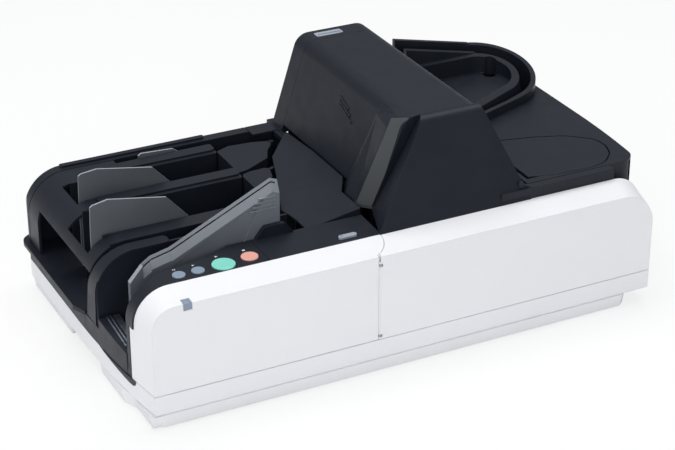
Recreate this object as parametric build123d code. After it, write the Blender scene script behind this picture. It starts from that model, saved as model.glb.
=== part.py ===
from build123d import *
import math
import os

# Desktop cheque scanner. Cheques stand on edge in the hopper at the front left, are fed along a
# slanted track under the hood, turn round at the right end and land in three pockets at the rear.
# Everything is drawn in millimetres from the front left corner of the front panel, on the floor:
# X to the right, Y to the rear, Z up. export() moves it to the middle of the footprint.

# ---- driving dimensions: body ----
body_length = 566.0        # front face, end to end
body_depth = 336.0
end_flare = 13.5           # each end stands out this much at the rear
flare_depth = 170.0        # behind here the ends run straight
rear_corner = 18.0
foot_height = 2.5
foot_radius = 9.0
foot_sink = 1.5
skirt_crease = 16.0        # height where the tray turns under
tray_rim = 37.9
left_deck = 137.0
right_deck = 149.0
hood_top = 237.0
upper_rear = 328.0         # rear face of the black upper body
wall = 2.8
seam = 0.4                 # visible gap between neighbouring covers
fit = 0.3                  # clearance between parts that move past each other
pin_fit = 0.05             # radial clearance of a pin in its bore

# ---- tray ----
skirt_left = 5.0           # the skirt stops this far outside the front panel's left end
skirt_right = 25.0         # and this far short of its right end
skirt_rear = 6.0
skirt_taper = 14.0         # degrees
skirt_corner = 10.0
recess_front = 122.0       # hand recess between the left foot blocks
recess_rear = 209.0
recess_depth = 16.0
tray_floor = 3.0
plate_height = 24.0        # underside of the chassis plate
plate_thickness = 2.0
boss_radius = 5.0

# ---- white front covers ----
cover_split = 240.0        # seam on the front face
band_depth = 34.0          # how far the sloping top band reaches to the rear
band_front = 132.0         # height of the band at the front face
end_return = 43.0          # how far the end walls reach to the rear
cover_return_top = 97.0    # and how high they are there
left_round_front = 24.0
left_round_rear = 36.0
right_round_front = 38.0
right_round_rear = 34.0
front_edge_round = 1.6
tongue_radius = 35.0       # rounded end of the left cover's top band
groove = 0.9               # dark seam above the tray
window_x = 33.0
window_width = 9.0
window_length = 8.0

# ---- left end, shared by the black parts ----
round_start = 30.0         # the quarter round of the left end begins here
panel_end = -6.5
wall_end = -12.5
pocket_end = -13.5

# ---- operator panel and buttons ----
panel_right = 138.5
panel_rear = 81.0
panel_step_x = 99.0
panel_step_y = 73.0
panel_left_y = 61.0
column_depth = 51.0
button_travel = 1.5
button_proud = 1.2
button_flange = 1.4
button_gap = 0.35
small_button = 6.7         # radii
start_button = 11.8
stop_button = 8.8
jog_x = 48.0
forward_x = 68.0
start_x = 95.0
stop_x = 124.0
button_row = 46.5
board_thickness = 1.6
board_drop = 9.0           # from the deck to the button board's top
deck_tab_x = 218.0
deck_tab_length = 20.0
deck_tab_width = 6.0
deck_tab_proud = 2.6

# ---- hopper ----
hopper_floor = 48.0
hopper_right = 196.0
sill_top = 58.0
sill_width = 8.5
wall_front = 115.0
wall_thickness = 15.0
wall_tab_x = 68.0
rail_radius = 2.2
rail_first = 20.0
rail_pitch = 9.0
rail_count = 4
rail_sink = 1.0
pusher_front = 84.0
pusher_thickness = 3.0
pusher_rim = 9.0
pusher_left = 12.0
pusher_tip = 173.0
pusher_top = 196.0
arch_left = 144.0
arch_right = 186.0
arch_height = 12.0

# ---- pockets ----
housing_front = 137.0
housing_column = 286.0     # behind here the end wall reaches down to the ledge
cover_edge = 110.0         # the pocket cover's rounded end is cut off here
ledge_top = 60.0
ledge_thickness = 4.5
ledge_reach = 6.5          # the ledge stands out past the rim
slot_floor_gap = 0.3
pocket_plate_thickness = 2.0
rib_height = 2.2
gate_radius = 3.0

# ---- hood ----
hood_left = 278.0          # left face at left deck height
hood_lean_left = 0.317     # sideways lean per unit of height
hood_right_top = 392.0     # right face at the top
hood_lean_right = 0.43
hood_round = 18.0
hood_bottom = 143.5
hood_seam_foot = 86.0      # parting plane to the fascia, at left deck height
hood_seam_lean = 0.10
strip_front = 302.0        # rear strip of the hood
fin_left = 264.0
fin_lean = 0.4545
fin_front_rear = 124.0
facet = 14.0
latch_x = 326.0
latch_length = 32.0
latch_depth = 11.0
hood_hinge_x = 438.0
hood_hinge_z = 155.0
hood_pin = 2.0
knuckle = 4.5
knuckle_length = 24.0

# ---- fascia on the front door ----
fascia_lean_back = 0.345
fascia_round = 10.5
fascia_fillet = 14.0
strip_right = 537.0
strip_rear = 44.0
hinge_inset = 2.2          # door axis behind and right of the door's front left edge
door_pin = 1.0
ear_thickness = 2.5

# ---- right deck, lid and turning track ----
deck_front = 45.0
deck_corner = 20.0
deck_thickness = 3.0
lid_thickness = 3.0
lid_gap = 1.2
lid_pin = 1.5
lid_eye = 2.3              # outer radius of the deck's bearings, less than the drop to the lid's underside
turn_x = 520.0             # centre of the turn
turn_y = 276.5
turn_radius = 59.5         # outside of the outer wall
leg_angle = 20.2           # front leg of the track, from +X towards +Y
track_gap = 10.0
turn_lip = 5.5             # thickness of the wall's top
turn_left = 446.0
turn_rear_left = 434.0     # the rear wall reaches further left
island_slope = 0.205       # the walls rise towards the rear
turn_front_height = 159.0
turn_front_y = 218.0
ramp_x = 532.0             # left of here the rear wall rises to the hood
ramp_slope = 0.224
track_floor = 60.0
recess_floor = 156.0
recess_rim = 9.0
recess_hole = 7.5

# ---- feed and transport ----
drive_radius = 9.0
pinch_radius = 6.5
roller_height = 30.0
roller_bottom = 80.0
shaft_radius = 2.0
path_gap = 1.6
feed_x = 165.0
roller_stations = (262.0, 388.0)
bed_top = 60.0
bed_thickness = 4.0
bed_right = 436.6
bed_cover_low = 131.0
tub_floor = 2.5
pocket_front = 150.0       # front edge of the stacker floor
stacker_right = 275.0
gate_top = 130.0
entry_low = 130.5
strip_depth = 24.0
strip_back = strip_front + strip_depth
lid_left = 446.0
lid_front = 59.0
lid_rear = 153.0
lid_relief = 5.0           # room beside the lid's left edge, which turns down as the lid lifts
inlet_x = 300.0
inlet_z = 66.0
inlet_width = 28.0
inlet_height = 20.0
port_x = 350.0
switch_x = 384.0
motor_x = 330.0
motor_y = 66.0


# ---- helpers ----
def half_space(a, b, c, reach=900.0):
    """Everything on the side to which the right-hand normal of three points looks."""
    along = b - a
    plane = Plane(origin=a, x_dir=along, z_dir=along.cross(c - a))
    return plane * Box(reach, reach, reach, align=(Align.CENTER, Align.CENTER, Align.MIN))


def polygon(*points):
    return make_face(Polyline(*points, close=True))


def rounded(*points, radii):
    return make_face(FilletPolyline(*points, radius=radii, close=True))


def slab(outline, low, high):
    """Extrudes a plan outline from one height to another."""
    return extrude(Pos(0, 0, low) * outline, amount=high - low)


def along_y(outline, front, rear):
    """Extrudes an outline drawn in X and Z from one depth to another."""
    return extrude(Pos(0, rear, 0) * (Plane.XZ * outline), amount=rear - front)


def along_x(outline, left, right):
    """Extrudes an outline drawn in Y and Z from one X to another."""
    return extrude(Pos(left, 0, 0) * (Plane.YZ * outline), amount=right - left)


def block(left, right, front, rear, low, high):
    corner = Pos(left, front, low)
    return corner * Box(right - left, rear - front, high - low, align=(Align.MIN,) * 3)


def rod(x, y, low, high, radius):
    """Upright cylinder."""
    return Pos(x, y, low) * Cylinder(radius, high - low, align=(Align.CENTER, Align.CENTER, Align.MIN))


def rod_y(x, z, front, rear, radius):
    """Cylinder that lies along Y."""
    return along_y(Pos(x, z) * Circle(radius), front, rear)


def flare_at(y):
    """How far each end stands out at a depth."""
    if y >= flare_depth:
        return end_flare
    return end_flare * (1 - ((flare_depth - y) / flare_depth) ** 2)


def plan(inset=0.0, rear=body_depth):
    """The body's outline seen from above."""
    half = flare_depth / 2
    left = [(inset, inset), (inset - flare_at(half), half), (inset - end_flare, flare_depth)]
    right = [(body_length - x, y) for x, y in reversed(left)]
    back = rear - inset
    corner = max(rear_corner - inset, 2.0)
    rear_line = FilletPolyline(left[2], (left[2][0], back), (right[0][0], back), right[0], radius=corner)
    edges = [ThreePointArc(*left), rear_line, ThreePointArc(*right), Line(right[2], left[0])]
    return make_face(edges)


def end_outline(end_x, bottom, right, top=left_deck, inset=0.0):
    """Outline in X and Z of a black part with the rounded left end."""
    left = end_x + inset
    height = top - inset
    radius = round_start - left
    return rounded((left, bottom), (left, height), (right, height), (right, bottom),
                   radii=[0, radius, 0, 0])


# ---- tray, feet, chassis ----
def skirt_outline(inset):
    left = -skirt_left + inset
    right = body_length - skirt_right - inset
    rear = body_depth - skirt_rear - inset
    corner = max(skirt_corner - inset, 2.0)
    return rounded((left, inset), (right, inset), (right, rear), (left, rear), radii=[corner / 3, corner, corner, corner])


def boss_places():
    return [(x, y) for x in (40.0, body_length / 2, body_length - 60.0) for y in (30.0, body_depth - 30.0)]


def foot_places():
    return [(x, y) for x in (25.0, body_length - 50.0) for y in (24.0, body_depth - 36.0)]


def make_base_tray():
    band = slab(plan(), skirt_crease, tray_rim)
    ends = band.edges().filter_by(GeomType.BSPLINE, reverse=True).group_by(Axis.Z)[0]
    band = chamfer(ends, front_edge_round)
    skirt = extrude(Pos(0, 0, skirt_crease) * skirt_outline(0), amount=foot_height - skirt_crease, taper=skirt_taper)
    tray = band + skirt
    recess = block(-skirt_left - wall, recess_depth - skirt_left, recess_front, recess_rear, 0, skirt_crease)
    tray -= recess
    tray -= slab(plan(wall), skirt_crease + tray_floor, tray_rim + 1)
    well_left = recess_depth - skirt_left + wall
    well_right = body_length - skirt_right - 2 * wall - skirt_taper / 2
    tray -= block(well_left, well_right, 3 * wall, body_depth - skirt_rear - 3 * wall,
                  foot_height + tray_floor, skirt_crease + 2 * tray_floor)
    for x, y in boss_places():
        tray += rod(x, y, foot_height + tray_floor / 2, plate_height, boss_radius)
    for x, y in foot_places():
        tray -= rod(x, y, 0, foot_height + foot_sink, foot_radius + fit)
    return tray


def make_rubber_feet():
    return Compound([rod(x, y, 0, foot_height + foot_sink, foot_radius) for x, y in foot_places()])


def make_chassis_plate():
    outline = plan(wall + 2 * fit)
    plate = slab(outline, plate_height, plate_height + plate_thickness)
    for x, y in boss_places():
        plate -= rod(x, y, plate_height, plate_height + plate_thickness, 1.6)
    return plate


def make_screws():
    screws = []
    top = plate_height + plate_thickness
    for x, y in boss_places():
        screws.append(rod(x, y, top, top + 2.2, 3.0))
    return Compound(screws)


# ---- white front covers ----
def cover_section(y, split, side, inset=0.0):
    """XZ section of a front cover at depth y; side is -1 for the left cover and 1 for the right."""
    share = y / band_depth
    top = band_front + (left_deck - band_front) * share - inset
    low = tray_rim
    if side < 0:
        radius = left_round_front + (left_round_rear - left_round_front) * share - inset
        end = -flare_at(y) + inset
    else:
        radius = right_round_front + (right_round_rear - right_round_front) * share - inset
        end = body_length + flare_at(y) - inset
    ring = [(end, low), (end, top), (split, top), (split, low)]
    return rounded(*ring, radii=[0, radius, 0, 0])


def cover_form(split, side, inset, front, rear):
    sections = [Pos(0, y, 0) * (Plane.XZ * cover_section(y, split, side, inset)) for y in (front, rear)]
    return loft(sections, ruled=True)


def tongue(extra):
    """Plan of the left cover's reach, which the door's edge goes round."""
    centre = (cover_split - 15.5, band_depth + 1.0)
    disc = Pos(*centre) * Circle(tongue_radius + extra)
    left_part = Pos(centre[0] - 300, centre[1]) * Rectangle(600, 300)
    return disc + left_part - Pos(cover_split + extra + 150, -150) * Rectangle(300, 300)


def split_cutter(extra, low, high):
    """What belongs to the left cover: left of the seam, and the rounded tongue of the band."""
    left = block(-60, cover_split + extra, -60, end_return + 60, low, high)
    return left + slab(tongue(extra) & Pos(cover_split, 30) * Rectangle(120, 140), low, high)


def cover_shell(side, split):
    outer = cover_form(split, side, 0.0, 0.0, band_depth)
    inner = cover_form(split + side * -1.0, side, wall, -0.0, band_depth)
    inner = inner & block(-60, body_length + 60, wall, band_depth + 1, 0, left_deck)
    shell = outer - inner
    return shell


def make_front_cover():
    reach = cover_split + 30.0
    shell = cover_shell(-1, reach)
    shell &= split_cutter(0.0, 0, hood_top)
    low = band_front - 2 * wall
    shell -= block(cover_split, reach + 1, -1, band_depth + 1, 0, low)
    shell += end_wall(-1)
    shell -= groove_cutter()
    shell -= block(window_x, window_x + window_width, -1, window_length, band_front - 7.0, left_deck)
    return shell


def end_wall(side):
    """Strip of the end face that carries the cover back past its band."""
    height = cover_return_top
    if side < 0:
        strip = block(-flare_at(end_return) - 0.0, wall - flare_at(end_return), band_depth - 1, end_return, tray_rim, height)
    else:
        right = body_length + flare_at(end_return)
        strip = block(right - wall, right, band_depth - 1, end_return, tray_rim + fit, height)
    return strip & slab(plan(), 0, hood_top)


def groove_cutter():
    ring = plan() - plan(1.2)
    return slab(ring, tray_rim, tray_rim + groove)


def make_status_window():
    low = band_front - 7.0
    window = block(window_x + fit, window_x + window_width - fit, 0, window_length - fit, low + fit, left_deck)
    return window & cover_form(cover_split, -1, 0.0, 0.0, band_depth)


def make_front_door():
    shell = cover_shell(1, cover_split + 0.2)
    shell -= split_cutter(seam, band_front - 2 * wall - seam, hood_top)
    shell += end_wall(1)
    shell -= block(-60, body_length + 60, -1, end_return + 60, 0, tray_rim + 2 * fit)
    axis_x, axis_y = door_axis()
    nose = rod(axis_x, axis_y, tray_rim + 2 * fit, band_front - 2 * wall - seam, hinge_inset - 0.2)
    corner = block(cover_split - 1, axis_x, -1, axis_y, 0, hood_top)
    shell = shell - corner + nose
    for low in ear_heights():
        shell -= block(cover_split - 1, axis_x + hinge_inset + fit, -1, axis_y + hinge_inset + fit, low - fit,
                       low + ear_thickness + fit)
    shell -= rod(axis_x, axis_y, 0, hood_top, door_pin + pin_fit)
    return shell


def door_axis():
    return cover_split + 0.2 + hinge_inset, hinge_inset


def ear_heights():
    return [tray_rim + 3.0, band_front - 4 * wall]


# ---- hopper ----
def make_hopper_tub():
    left = plan() & Pos(0, (column_depth + pocket_front) / 2) * Rectangle(60, pocket_front - column_depth - 2 * seam)
    sill = slab(left - plan(sill_width), tray_rim, sill_top)
    inside = plan(sill_width - 0.5) & Pos(hopper_right / 2, 0) * Rectangle(hopper_right + 80, 400)
    depth = block(-60, hopper_right + 4, column_depth + seam, housing_front - fit, 0, left_deck)
    tub = sill + (slab(inside, hopper_floor - tub_floor, hopper_floor) & depth)
    for x in (rail_first + 2 * rail_pitch, hopper_right / 2, hopper_right - 30):
        tub += block(x, x + wall, wall_front - 50, wall_front, plate_height + plate_thickness, hopper_floor - tub_floor)
    for x in rail_places():
        tub -= rod_y(x, rail_axis(), column_depth, wall_front + wall_thickness, rail_radius)
    tub -= rod(feed_x, feed_y(), 0, hopper_floor + 1, shaft_radius + pin_fit)
    return tub


def rail_places():
    return [rail_first + i * rail_pitch for i in range(rail_count)]


def rail_axis():
    return hopper_floor + rail_radius - rail_sink


def make_hopper_rails():
    return Compound([rod_y(x, rail_axis(), panel_left_y + 3, wall_front - fit, rail_radius) for x in rail_places()])


def make_hopper_wall():
    shell = end_outline(wall_end, sill_top, wall_tab_x) - end_outline(wall_end, 0, wall_tab_x + 1, inset=wall)
    rear = wall_front + wall_thickness
    strip_plan = rounded((-40, wall_front), (wall_tab_x, wall_front), (wall_tab_x, rear), (-40, rear), radii=[0, 5, 5, 0])
    strip = along_y(shell, wall_front, rear) & slab(strip_plan, cover_edge, left_deck)
    jamb = along_y(shell, wall_front, rear + 20)
    lean = polygon((wall_front, left_deck), (rear, left_deck), (rear + 17, sill_top), (wall_front + 7, sill_top))
    jamb &= along_x(lean, -40, round_start)
    plate_front = wall_front + 2
    plate = along_y(end_outline(wall_end + wall / 2, hopper_floor, hopper_right, top=left_deck - 1), plate_front,
                    plate_front + 3)
    low_left = block(-40, -flare_at(wall_front) + sill_width + fit, wall_front, rear, 0, sill_top)
    return strip + jamb + (plate - low_left)


def make_pusher():
    rear = pusher_front + 2 * pusher_thickness
    tip = (pusher_tip - 8, pusher_top)
    edge = [(pusher_left, 118.0), (26.0, 134.0), (35.0, 140.0), (56.0, 145.0), tip, (pusher_tip, pusher_top - 3)]
    low = rail_axis() + rail_radius + fit
    body = along_y(polygon(*edge, (pusher_tip, low), (pusher_left, low)), pusher_front, rear)
    for a, b in zip(edge[1:], edge[2:]):
        run = Vector(b[0] - a[0], 0, b[1] - a[1]).normalized()
        drop = Vector(run.Z, 0, -run.X) * (pusher_rim + 3)
        first = Vector(a[0], rear, a[1])
        front = Vector(a[0], pusher_front, a[1]) + drop
        body -= half_space(first, front, first + run) & block(a[0], b[0], 0, 200, 0, 250)
    field = polygon((pusher_left - 1, low + 14), (61, 129), (158, 179), (148, 165), (127, 120), (120, low + 14))
    body -= along_y(field, pusher_front - 1, pusher_front + pusher_thickness / 2)
    body -= along_y(offset(polygon(*edge, (pusher_tip, low + 8), (pusher_left, low + 8)), -pusher_thickness),
                    pusher_front + pusher_thickness + 1, rear + 1)
    foot = block(pusher_left + 6, pusher_left + 48, pusher_front, rear + 14, low, low + 8)
    for i in range(4):
        ridge_z = 178.0 - 4.2 * i
        body += along_y(Pos((150 - 3.4 * i + 168) / 2, ridge_z) * Rectangle(18 + 3.4 * i, 1.6),
                        pusher_front - 0.8, pusher_front + 1)
    return body + foot


# ---- operator panel, feed panel, buttons ----
def panel_plan(inset=0.0):
    rear = [(panel_right, panel_rear), (panel_step_x + 14, panel_rear), (panel_step_x, panel_step_y),
            (panel_step_x - 8, panel_step_y - 2), (58, panel_left_y + 2), (round_start + 4, panel_left_y),
            (10, column_depth), (-40, column_depth)]
    ring = [(-40, band_depth + seam), (panel_right, band_depth + seam)] + rear
    return offset(polygon(*ring), -inset) if inset else polygon(*ring)


def panel_keys():
    """Place and radius of each round button."""
    return {"jog_button": (jog_x, button_row, small_button),
            "forward_button": (forward_x, button_row, small_button),
            "start_button": (start_x, button_row + 0.5, start_button),
            "stop_button": (stop_x, button_row + 3.5, stop_button)}


def make_operator_panel():
    shell = along_y(end_outline(panel_end, hopper_floor, panel_right), 0, 120) & slab(panel_plan(), 0, left_deck)
    inner = along_y(end_outline(panel_end, 0, panel_right + 5, inset=wall), 0, 120)
    inner &= slab(panel_plan(wall) + Pos(60, band_depth) * Rectangle(260, 12), 0, left_deck)
    column = slab(plan() - plan(wall * 2.5), tray_rim, hopper_floor)
    column &= block(-40, 40, end_return + seam, column_depth, 0, left_deck)
    shell = shell - inner + column
    for x, row, radius in panel_keys().values():
        shell -= rod(x, row, hopper_floor, left_deck + 1, radius + button_gap)
    for x, y in board_posts():
        shell += rod(x, y, board_top(), left_deck - wall + 0.5, 2.0)
    shell -= block(-60, wall + seam - flare_at(end_return), 0, end_return + seam, 0, cover_return_top + seam)
    return shell


def board_posts():
    return [(jog_x - 14, button_row + 3), ((start_x + stop_x) / 2 + 1.5, button_row + 10)]


def board_top():
    return left_deck - board_drop


def make_round_key(x, row, radius):
    under = left_deck - wall
    cap = rod(x, row, under, left_deck + button_proud, radius)
    cap = fillet(cap.edges().group_by(Axis.Z)[-1], 0.8)
    flange = rod(x, row, under - button_flange, under, radius + button_flange)
    return cap + flange + rod(x, row, board_top() + button_travel, under, 2.0)


def make_button_board():
    low = board_top() - board_thickness
    board = block(jog_x - 17, stop_x + 11, button_row - 10.5, button_row + 11, low, board_top())
    return fillet(board.edges().filter_by(Axis.Z), 2.0)


def feed_y():
    return panel_rear + 1.6 - drive_radius


def make_feed_panel():
    left = panel_right + seam
    right = tongue_x(band_depth) + seam
    outline = polygon((left, band_depth + seam), (right, band_depth + seam), (right + 1, 45), (262.2, panel_rear),
                      (left, panel_rear))
    panel = slab(outline, left_deck - wall, left_deck)
    panel += block(left, hopper_right + 4, panel_rear - wall, panel_rear, hopper_floor, left_deck - 1)
    window = block(feed_x - drive_radius - 1, feed_x + drive_radius + 1, panel_rear - wall - 1, panel_rear + 1,
                   roller_bottom - 1, roller_bottom + roller_height + 1)
    panel += feed_arch()
    return panel - window - slab(tab_plan(fit), 0, left_deck + 1)


def tongue_x(y):
    centre_x = cover_split - 15.5
    centre_y = band_depth + 1.0
    return centre_x + math.sqrt(tongue_radius ** 2 - (centre_y - y) ** 2)


def tab_plan(extra=0.0):
    centre_x = deck_tab_x + deck_tab_length / 2
    return Pos(centre_x, 44.0) * SlotOverall(deck_tab_length + 2 * extra, deck_tab_width + 2 * extra)


def make_deck_tab():
    under = left_deck - wall
    cap = slab(tab_plan(), under, left_deck + deck_tab_proud)
    cap = fillet(cap.edges().group_by(Axis.Z)[-1], 1.0)
    cap -= rod(deck_tab_x + 3.2, 44.0, left_deck + deck_tab_proud - 1, hood_top, 1.2)
    return cap + slab(tab_plan(1.2), under - button_flange, under)


def feed_arch():
    span = (arch_left, arch_right)
    outline = rounded((span[0], left_deck), (span[0] + 10, left_deck + arch_height), (span[1] - 10, left_deck + arch_height),
                      (span[1], left_deck), radii=[0, 6, 6, 0])
    lip = along_y(outline, panel_rear - 2, pusher_front - fit)
    inner = Pos(0, -1.6) * outline
    recess = along_y(inner, panel_rear - 3, panel_rear - 0.4)
    return lip - (recess & block(0, 300, 0, 200, left_deck, 200))


# ---- pockets ----
def slots():
    """Left, right, front and rear edge of each pocket."""
    return [(-4.0, 191.0, 157.0, 214.0), (15.0, 191.0, 237.0, 281.0), (84.0, 193.0, 303.0, 315.0)]


def make_pocket_housing():
    rear = slots()[2][3] - 1
    right = 191.0
    whole = along_y(end_outline(pocket_end, ledge_top, right), housing_front, rear)
    outer = whole & block(-60, 300, 0, 400, cover_edge, hood_top)
    inner = along_y(end_outline(pocket_end, 0, right + 1, inset=wall), housing_front - 1, rear + 1)
    shell = outer - inner
    shell += (whole - inner) & block(-60, 12, housing_column, rear, ledge_top, cover_edge + 1)
    front_right = polygon((190, housing_front), (198, housing_front), (205, 157), (190, 157))
    shell += slab(front_right, left_deck - wall, left_deck)
    shell += block(12, 198, housing_front, housing_front + 2, ledge_top, left_deck - 1) & block(0, 300, 0, 150, 0, 200)
    for left, end, front, back in slots():
        shell -= block(left, end + 1, front, back + 2, cover_edge, left_deck + 1) - block(200, 300, 0, 400, 0, 300)
    for left, end, front, back in slots():
        start = max(left + 8, 12)
        shell += block(start, 190, front - 2, front, ledge_top, left_deck)
        if back < 300:
            shell += block(start, 190, back, back + 2, ledge_top, left_deck)
    for first, front, back in ((34, 219.0, 235.0), (48, 286.0, 301.0)):
        rib = rounded((first, front), (right, front), (right, back), (first, back), radii=[2, 5, 2, 2])
        shell += slab(rib, left_deck - 1, left_deck + rib_height)
    return shell


def pocket_places():
    return [160.0, 240.0, 304.0]


def make_pocket_plate(index):
    outlines = [
        [(1, 136), (2, 168), (5, 170), (21, 173), (83, 162), (106, 136)],
        [(18, 136), (19, 164), (22, 166), (39, 168), (100, 157), (124, 131)],
        [(109, 136), (109, 141), (113, 143), (149, 141), (159, 134)],
    ]
    top = outlines[index]
    low = ledge_top + slot_floor_gap
    front = pocket_places()[index]
    left = max(top[0][0], 13)
    shape = polygon(*top, (top[-1][0], low), (left, low), (left, 100), (top[0][0], 112))
    rear = front + pocket_plate_thickness
    plate = along_y(shape, front, rear)
    foot = block(left + 8, top[-1][0] - 8, rear - 1, rear + 5, low, low + 5)
    return plate + foot


def make_stacker_floor():
    edge = -end_flare - ledge_reach
    ledge = rounded((edge + ledge_reach, pocket_front), (stacker_right, pocket_front), (stacker_right, body_depth),
                    (edge, body_depth), (edge, pocket_front + 18), radii=[0, 0, 0, rear_corner, 4])
    floor = slab(ledge, ledge_top - ledge_thickness, ledge_top)
    region = Pos((stacker_right - 60) / 2, (pocket_front + body_depth) / 2) * Rectangle(
        stacker_right + 60, body_depth - pocket_front)
    skirt = slab((plan() - plan(wall)) & region, tray_rim, ledge_top - ledge_thickness)
    floor += skirt
    for y in (180.0, 225.0, 292.0):
        floor += block(12, stacker_right - 20, y, y + wall, plate_height + plate_thickness, ledge_top - ledge_thickness)
    for x, y in gate_places():
        floor -= rod(x, y, 0, ledge_top + 1, gate_radius + pin_fit)
    return floor


def gate_places():
    return [(262.0, 296.0), (240.0, 236.0)]


def make_gate(index):
    x, y = gate_places()[index]
    post = rod(x, y, ledge_top - ledge_thickness, gate_top, gate_radius)
    blade = polygon((0, -gate_radius), (0, gate_radius), (-16, 0.8), (-16, -0.8))
    angle = 12.0 + 5.0 * index
    return post + Pos(x, y) * Rot(0, 0, angle) * slab(blade, ledge_top + fit, gate_top)


def wing_outlines():
    outlines = [
        [(191.6, 215), (194, 220), (203, 223), (220, 224), (225, 221), (220, 202), (196, 180), (191.6, 186)],
        [(191.6, 284), (208, 291), (234, 289), (251, 284), (253, 276), (242, 262), (234, 245), (203, 228), (191.6, 226)],
    ]
    return [polygon(*outline) for outline in outlines]


def make_wings():
    wings = []
    for outline in wing_outlines():
        hollow = slab(offset(outline, -2.4), ledge_top - 1, left_deck - wall)
        wings.append(slab(outline, ledge_top, left_deck) - hollow)
    return Compound(wings)


def make_rear_cover():
    front = slots()[2][3] + seam
    back_x = stacker_right
    outer = along_y(end_outline(pocket_end, ledge_top, back_x), front, upper_rear)
    inner = along_y(end_outline(pocket_end, 0, back_x + 5, inset=wall), front + wall, upper_rear - wall)
    shell = outer - inner
    shell &= slab(plan(), 0, hood_top)
    rib = rounded((27, front + 5), (193, front + 5), (193, upper_rear - 1), (27, upper_rear - 1), radii=[2, 4, 2, 2])
    shell += slab(rib, left_deck - 1, left_deck + rib_height)
    shell -= block(244, 244.8, front - 1, upper_rear + 1, left_deck - 1.5, left_deck + 5)
    shell += block(244.8, back_x, front - 9, front + 1, left_deck - wall, left_deck)
    return shell


# ---- feed path under the hood ----
def track_point(x, side=0.0):
    """Point of the front leg's centre line at an X, moved sideways towards the rear by side."""
    angle = math.radians(leg_angle)
    radius = track_radius()
    start = (turn_x + radius * math.sin(angle), turn_y - radius * math.cos(angle))
    y = start[1] + (x - start[0]) * math.tan(angle)
    return x - side * math.sin(angle), y + side * math.cos(angle)


def track_radius():
    return turn_radius - turn_lip - track_gap / 2


def drive_places():
    return [track_point(x, -drive_radius - path_gap / 2) for x in roller_stations]


def pinch_places():
    return [track_point(x, pinch_radius + path_gap / 2) for x in roller_stations]


def separation_place():
    return track_point(216.0, -drive_radius - path_gap / 2)


def make_roller(x, y, radius, low=roller_bottom):
    tyre = rod(x, y, low, low + roller_height, radius) - rod(x, y, low + 6, low + roller_height - 6, radius + 1)
    core = rod(x, y, low + 4, low + roller_height - 4, radius - 2.5)
    return tyre + core


def make_roller_set(x, y, radius, foot):
    shaft = rod(x, y, foot, roller_bottom + roller_height + 8, shaft_radius)
    return make_roller(x, y, radius) + shaft


def bed_outline():
    return polygon((204, 88), (bed_right, 88), (bed_right, 331), (stacker_right + seam, 331),
                   (stacker_right + seam, pocket_front - seam), (204, pocket_front - seam))


def roller_spots():
    spots = [(x, y, drive_radius) for x, y in drive_places()]
    spots += [(x, y, pinch_radius) for x, y in pinch_places()]
    return spots + [(*separation_place(), drive_radius)]


def track_walls(low, high):
    walls = []
    for side in (-track_gap / 2 - 1.6, track_gap / 2):
        a = track_point(206.0, side)
        b = track_point(bed_right - 4, side)
        c = track_point(bed_right - 4, side + 1.6)
        d = track_point(206.0, side + 1.6)
        walls.append(slab(polygon(a, b, c, d), low, high))
    return walls


def make_transport_bed():
    bed = slab(bed_outline(), bed_top - bed_thickness, bed_top)
    for part in track_walls(bed_top - 1, bed_top + 70):
        bed += part & slab(bed_outline(), 0, hood_top)
    for x, y, radius in roller_spots():
        bed -= rod(x, y, roller_bottom - 1, bed_top + 71, radius + 1)
        bed -= rod(x, y, bed_top, roller_bottom, shaft_radius + 1)
        bed -= rod(x, y, 0, bed_top + 1, shaft_radius + pin_fit)
    for window in sensor_outlines() + [head_outline()]:
        bed -= slab(offset(window, fit), bed_top, bed_top + 71)
    for x, y in ((214, 92), (bed_right - 14, 92), (290, 320), (bed_right - 14, 320), (290, 200)):
        bed += rod(x, y, plate_height + plate_thickness, bed_top - bed_thickness, 6.0)
    return bed


def make_transport_cover():
    plate = slab(polygon((281, 100), (bed_right, 100), (bed_right, 299), (281, 299)), bed_cover_low, bed_cover_low + 2.5)
    a = track_point(200.0, -2.5)
    b = track_point(bed_right + 10, -2.5)
    c = track_point(bed_right + 10, 2.5)
    d = track_point(200.0, 2.5)
    plate -= slab(polygon(a, b, c, d), 0, hood_top)
    for x, y in ((290, 290), (bed_right - 10, 290), (bed_right - 10, 108), (290, 108)):
        plate += rod(x, y, bed_top, bed_cover_low + 1, 4.0)
    return plate


def sensor_box(x, side, length, depth):
    """Block beside the track, turned with it; side is the distance of its near face from the path."""
    ends = [(x, side), (x + length, side), (x + length, side + depth), (x, side + depth)]
    return polygon(*[track_point(*end) for end in ends])


def make_image_sensors():
    low = bed_top
    high = low + 68
    return Compound([slab(outline, low, high) for outline in sensor_outlines()])


def sensor_outlines():
    return [sensor_box(322.0, side * 3.0, 18.0, side * 14.0) for side in (-1, 1)]


def head_outline():
    return sensor_box(290.0, -3.0, 12.0, -10.0)


def make_magnetic_head():
    return slab(head_outline(), bed_top, bed_top + 40)


# ---- entry cover ----
def make_entry_cover():
    outline = polygon((202, 83), (262.4, 83), (262.4, 125), (277, 151), (277, 290), (271, 283), (242, 250),
                      (228, 211), (199, 137), (202, 107))
    solid = slab(outline, entry_low, 160)
    facets = [
        half_space(Vector(224, 90, 137), Vector(278, 90, 146), Vector(224, 200, 137)),
        half_space(Vector(224, 134, 138), Vector(240, 194, 138), Vector(198, 136, 131)),
        half_space(Vector(222, 94, 137), Vector(222, 180, 137), Vector(202, 107, 133)),
    ]
    outer = solid
    inner = slab(offset(outline, -wall), 0, 160)
    for facet in facets:
        outer -= facet
        inner -= Pos(0, 0, -wall) * facet
    return outer - inner


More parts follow.
